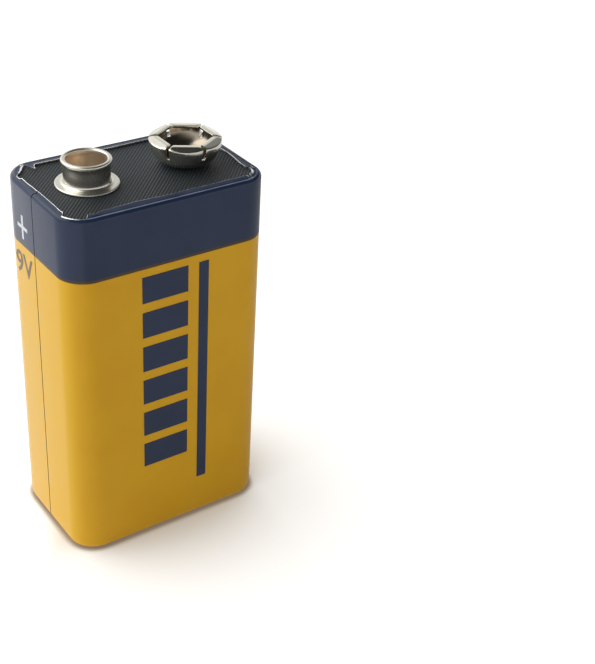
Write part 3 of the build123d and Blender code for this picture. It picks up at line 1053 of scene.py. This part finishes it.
def latheMesh(name, profile, centreX, segments, slotStarts=()):
    base = terminals["boardTop"]
    bm = bmesh.new()
    rings = []
    for step in range(segments):
        turn = 2 * math.pi * step / segments
        rings.append([
            bm.verts.new((centreX + r * mm * math.cos(turn), r * mm * math.sin(turn), base + z * mm))
            for r, z in profile
        ])
    count = len(profile)
    for step in range(segments):
        ring, following = rings[step], rings[(step + 1) % segments]
        for i in range(count):
            face = bm.faces.new((ring[i], ring[(i + 1) % count], following[(i + 1) % count], following[i]))
            face.material_index = sum(1 for start in slotStarts if i >= start)
    mesh = meshFrom(bm, name)
    turnOutwards(mesh)
    return mesh


studShape = {  # radii and heights over the board, in mm
    "hole": 1.03,
    "flange": 3.65,
    "sheet": 0.28,
    "underEdge": 0.12,
    "flangeEdge": 0.14,
    "rootRound": 0.40,
    "neck": 2.66,
    "flare": [(0.0, 1.2), (0.0, 1.8), (0.01, 2.1), (0.03, 2.35), (0.06, 2.55), (0.09, 2.68), (0.105, 2.74)],
    "head": 2.86,
    "top": 3.18,
    "lipOuter": 0.21,
    "lipInner": 0.23,
    "lipMiddle": 2.54,
    "bore": 2.39,
    "boreRound": 0.30,
    "narrowing": [(0.09, 2.85), (0.08, 2.7), (0.05, 2.55), (0.01, 2.4), (0.0, 2.2), (0.0, 1.3), (0.0, 0.62)],
    "segments": 128,
}
rivetShape = {
    "bore": 0.55,
    "shank": 1.0,
    "seat": 0.28,
    "foot": -1.65,
    "footReach": 1.35,
    "footRound": 0.175,
    "segments": 96,
}


def makeStud(shape):
    flange, sheet, neck, bore = (shape[key] for key in ("flange", "sheet", "neck", "bore"))
    under, edge, root = (shape[key] for key in ("underEdge", "flangeEdge", "rootRound"))
    outer, inner, inside = (shape[key] for key in ("lipOuter", "lipInner", "boreRound"))
    footPart = (
        [(shape["hole"], 0.0), (2.4, 0.0), (3.5, 0.0)]
        + arcPoints((flange - under, under), under, -90, 0, 4)
        + arcPoints((flange - edge, sheet - edge), edge, 0, 90, 5)
        + [(3.3, sheet)]
        + arcPoints((neck + root, sheet + root), root, 270, 180, 10)
    )
    wallPart = [(neck + wider, z) for wider, z in shape["flare"]]
    lipPart = (
        arcPoints((shape["head"] - outer, shape["top"] - outer), outer, -48, 90, 12)
        + arcPoints((shape["lipMiddle"], shape["top"] - inner), inner, 90, 165, 8)
    )
    liningPart = (
        [(bore - narrower, z) for narrower, z in shape["narrowing"]]
        + arcPoints((bore - inside, sheet + inside), inside, 0, -90, 6)
        + [(1.6, sheet), (shape["hole"], sheet)]
    )
    wallFrom = len(footPart) - 1
    lipFrom = wallFrom + len(wallPart)
    liningFrom = lipFrom + len(lipPart) + 1
    profile = footPart + wallPart + lipPart + liningPart
    slotStarts = (wallFrom, lipFrom, liningFrom)
    mesh = latheMesh("snapStud", profile, -terminals["pitch"] / 2, shape["segments"], slotStarts)
    # the lining's lighter, warmer nickel is painted light
    # the wall's darker nickel is painted shade
    return makePiece("snapStud", mesh, [satin, shadedWall, satin, litBoreMetal])


def makeRivet(name, centreX, shape):
    reach, foot, curl = (shape[key] for key in ("footReach", "foot", "footRound"))
    profile = (
        [(shape["bore"], foot + 0.05), (0.62, foot), (reach, foot)]
        + arcPoints((reach, foot + curl), curl, -90, 90, 6)
        + [(shape["shank"], foot + 2 * curl), (shape["shank"], shape["seat"]), (1.55, shape["seat"])]
        + arcPoints((1.52, 0.40), 0.12, -90, 40, 5)
        + arcPoints((0.98, -0.06), 0.68, 52, 100, 6)
        + arcPoints((0.86, 0.31), 0.31, 100, 180, 6)
    )
    mesh = latheMesh(name, profile, centreX, shape["segments"])
    return makePiece(name, mesh, [brass])


socket = makeSocket()
stud = makeStud(studShape)
studRivet = makeRivet("studRivet", -terminals["pitch"] / 2, rivetShape)
socketRivet = makeRivet("socketRivet", terminals["pitch"] / 2, rivetShape)
standFor(socket, "negative_socket")
standFor(stud, "positive_stud")
standFor(studRivet, "positive_rivet")
standFor(socketRivet, "negative_rivet")
print("terminals made")


# Voltage figures on the narrow side

figures = {
    "words": "9V",
    "height": 2.85 * mm,
    "right": 1.15 * mm,      # Y of the text's right end
    "foot": 33.75 * mm,
    "face": -12.97 * mm,
    "extrude": 0.5,          # of the flat text to each side, before it is made thin
    "thickness": 0.02 * mm,
    "sunk": 0.1,             # of the thickness, below the face
    "weight": 0.012,
}


def makeFigures(look):
    curve = bpy.data.curves.new("figures", "FONT")
    curve.body = look["words"]
    curve.extrude = look["extrude"]
    curve.offset = look["weight"]
    mesh = plainMesh(addObject("figuresText", curve), "voltageFigures")
    xs = [vertex.co.x for vertex in mesh.vertices]
    ys = [vertex.co.y for vertex in mesh.vertices]
    size = look["height"] / (max(ys) - min(ys))
    for vertex in mesh.vertices:
        out = (vertex.co.z + look["extrude"] - look["sunk"]) * look["thickness"]
        across = (max(xs) - vertex.co.x) * size
        up = (vertex.co.y - min(ys)) * size
        vertex.co = (look["face"] - out, look["right"] + across, look["foot"] + up)
    turnOutwards(mesh)
    return makePiece("voltageFigures", mesh, [figureInk])


voltage = makeFigures(figures)
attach(voltage, "root")
print("figures made")


# CAD nodes that keep their shape get their own finish

nodeFinishes = {
    "terminal_board": board,
    "base_plate": plate,
    "front_bars": navy,
    "front_stripe": navy,
    "plus_mark": white,
    "positive_lead": strip,
    "negative_lead": strip,
    "top_insulator": card,
    "base_insulator": card,
    "cell_liner": film,
}
cells = [name for name in frame["nodes"] if name.startswith("cell_") and name != "cell_liner"]
straps = [name for name in frame["nodes"] if "_strap_" in name]
nodeFinishes.update(dict.fromkeys(cells, can))
nodeFinishes.update(dict.fromkeys(straps, strip))
for name, finish in nodeFinishes.items():
    for slot in frame["nodes"][name].material_slots:
        slot.material = finish
print("nodes finished:", len(nodeFinishes))


# Studio: white floor, soft light from the left and behind

floorPaper = {
    "radius": 1.6,
    "segments": 96,
    "colour": (0.86, 0.84, 0.82, 1.0),
    "seenColour": (0.62, 0.60, 0.57, 1.0),
    "openGlow": (0.80, 0.80, 0.79, 1.0),
    # close to the battery the floor's glow and colour are painted darker: a painted shadow
    "nearShadowGlow": (0.27, 0.245, 0.20, 1.0),
    "closeReach": 0.030,
    "closeRange": (0.40, 0.98),
    "contactShadowGlow": (0.16, 0.12, 0.08, 1.0),
    "contactShadowColour": (0.22, 0.19, 0.15, 1.0),
    "contactReach": 0.0012,
    "contactRange": (0.45, 0.90),
    # how bright the floor shows in reflections: darker in front, brighter behind, a painted reflection
    "frontMirrored": (0.12, 0.12, 0.12, 1.0),
    "backMirrored": (0.46, 0.46, 0.46, 1.0),
    "mirroredRange": (-0.005, 0.015),
    "leftwards": (-0.94, 0.34, 0.0),
    "leftRange": (0.010, 0.015),  # from here on the floor glows in full, whatever stands near
}
studio = {
    "skyLow": 0.03,
    "skyFront": 1.36,
    "skyBack": 0.96,
    "litRange": (-0.70, 0.50),
    "frontFade": (0.0, 0.45),
    "backFade": (0.30, 0.85),
    "highRange": (0.18, 0.44),
    "highFade": (0.80, 1.0),
    "lightFrom": (-0.72, 0.69, 0.0),
    "keyColour": (1.0, 0.985, 0.96),
    "keyPower": 1.30,
    "keySize": 0.60,
    "keyAim": Vector((0, 0, 0.02)),
    "keyDistance": 0.50,
    "keyDirection": Vector((-0.50, 0.42, 0.76)).normalized(),
}


def makeFloorMaterial(look):
    material, maker, place = newMaterial("floorPaper")

    # nearness to the battery, read by ambient occlusion, sets the painted shadow on the floor
    def openness(samples, reach, low, high):
        sockets = {"Distance": reach}
        seen = maker.value("ShaderNodeAmbientOcclusion", {"samples": samples}, sockets, "AO")
        return maker.smooth(seen, low, high)

    def diffuse(colour):
        return maker.value("ShaderNodeBsdfDiffuse", sockets={"Color": colour})

    def glowing(paper, colour):
        glow = maker.value("ShaderNodeEmission", sockets={"Color": colour, "Strength": 1.0})
        return maker.value("ShaderNodeAddShader", sockets={0: paper, 1: glow})

    paper = diffuse(look["colour"])
    # painted shadow: near the battery and at its foot the floor's colour and glow grow darker
    clearShare = openness(8, look["contactReach"], *look["contactRange"])
    openShare = openness(16, look["closeReach"], *look["closeRange"])
    leftwards = maker.measure("DOT_PRODUCT", place, look["leftwards"])
    glowShare = maker.math("MAXIMUM", openShare, maker.smooth(leftwards, *look["leftRange"]))
    glowColour = maker.blend(glowShare, look["nearShadowGlow"], look["openGlow"])
    glowColour = maker.blend(clearShare, look["contactShadowGlow"], glowColour)
    seenPaper = diffuse(maker.blend(clearShare, look["contactShadowColour"], look["seenColour"]))
    # painted reflection: the floor glows darker to the front for glossy rays only
    mirroredShare = maker.smooth(leftwards, *look["mirroredRange"])
    mirroredColour = maker.blend(mirroredShare, look["frontMirrored"], look["backMirrored"])
    mirroredColour = maker.blend(openShare, look["nearShadowGlow"], mirroredColour)
    isGlossy = maker.value("ShaderNodeLightPath", output="Is Glossy Ray")
    isCamera = maker.value("ShaderNodeLightPath", output="Is Camera Ray")
    indirect = maker.value("ShaderNodeMixShader", sockets={
        0: isGlossy, 1: paper, 2: glowing(paper, mirroredColour),
    })
    mixed = maker.value("ShaderNodeMixShader", sockets={
        0: isCamera, 1: indirect, 2: glowing(seenPaper, glowColour),
    })
    maker.node("ShaderNodeOutputMaterial", sockets={0: mixed})
    return material


def makeFloor(look):
    bm = bmesh.new()
    bmesh.ops.create_circle(bm, cap_ends=True, segments=look["segments"], radius=look["radius"])
    makePiece("floor", meshFrom(bm, "floor"), [makeFloorMaterial(look)])


def makeSky(look):
    world = bpy.data.worlds.new("studioSky")
    scene.world = world
    world.use_nodes = True
    world.node_tree.nodes.clear()
    maker = NodeMaker(world.node_tree)
    direction = maker.value("ShaderNodeTexCoord")
    toLight = maker.measure("DOT_PRODUCT", direction, look["lightFrom"])
    lit = maker.smooth(toLight, *look["litRange"])
    rise = maker.split(direction)[2]
    front = (1 - lit) * (1 - maker.smooth(rise, *look["frontFade"])) * look["skyFront"]
    back = lit * (1 - maker.smooth(rise, *look["backFade"]))
    high = maker.smooth(toLight, *look["highRange"]) * (1 - maker.smooth(rise, *look["highFade"]))
    strength = front + maker.math("MAXIMUM", back, high) * look["skyBack"] + look["skyLow"]
    isCamera = maker.value("ShaderNodeLightPath", output="Is Camera Ray")
    strength = maker.math("MAXIMUM", strength, isCamera)
    shade = maker.join(strength, strength, strength)
    sky = maker.value("ShaderNodeBackground", sockets={"Color": shade, "Strength": 1.0})
    maker.node("ShaderNodeOutputWorld", sockets={0: sky})


def makeKeyLight(look):
    data = bpy.data.lights.new("keyLight", "AREA")
    data.shape = "DISK"
    data.size = look["keySize"]
    data.energy = look["keyPower"]
    data.color = look["keyColour"]
    light = addObject("keyLight", data)
    light.location = look["keyAim"] + look["keyDirection"] * look["keyDistance"]
    light.rotation_mode = "QUATERNION"
    light.rotation_quaternion = look["keyDirection"].to_track_quat("Z", "Y")


makeFloor(floorPaper)
makeSky(studio)
makeKeyLight(studio)
scene.view_settings.view_transform = "Standard"
print("studio lit")


print("scene built")
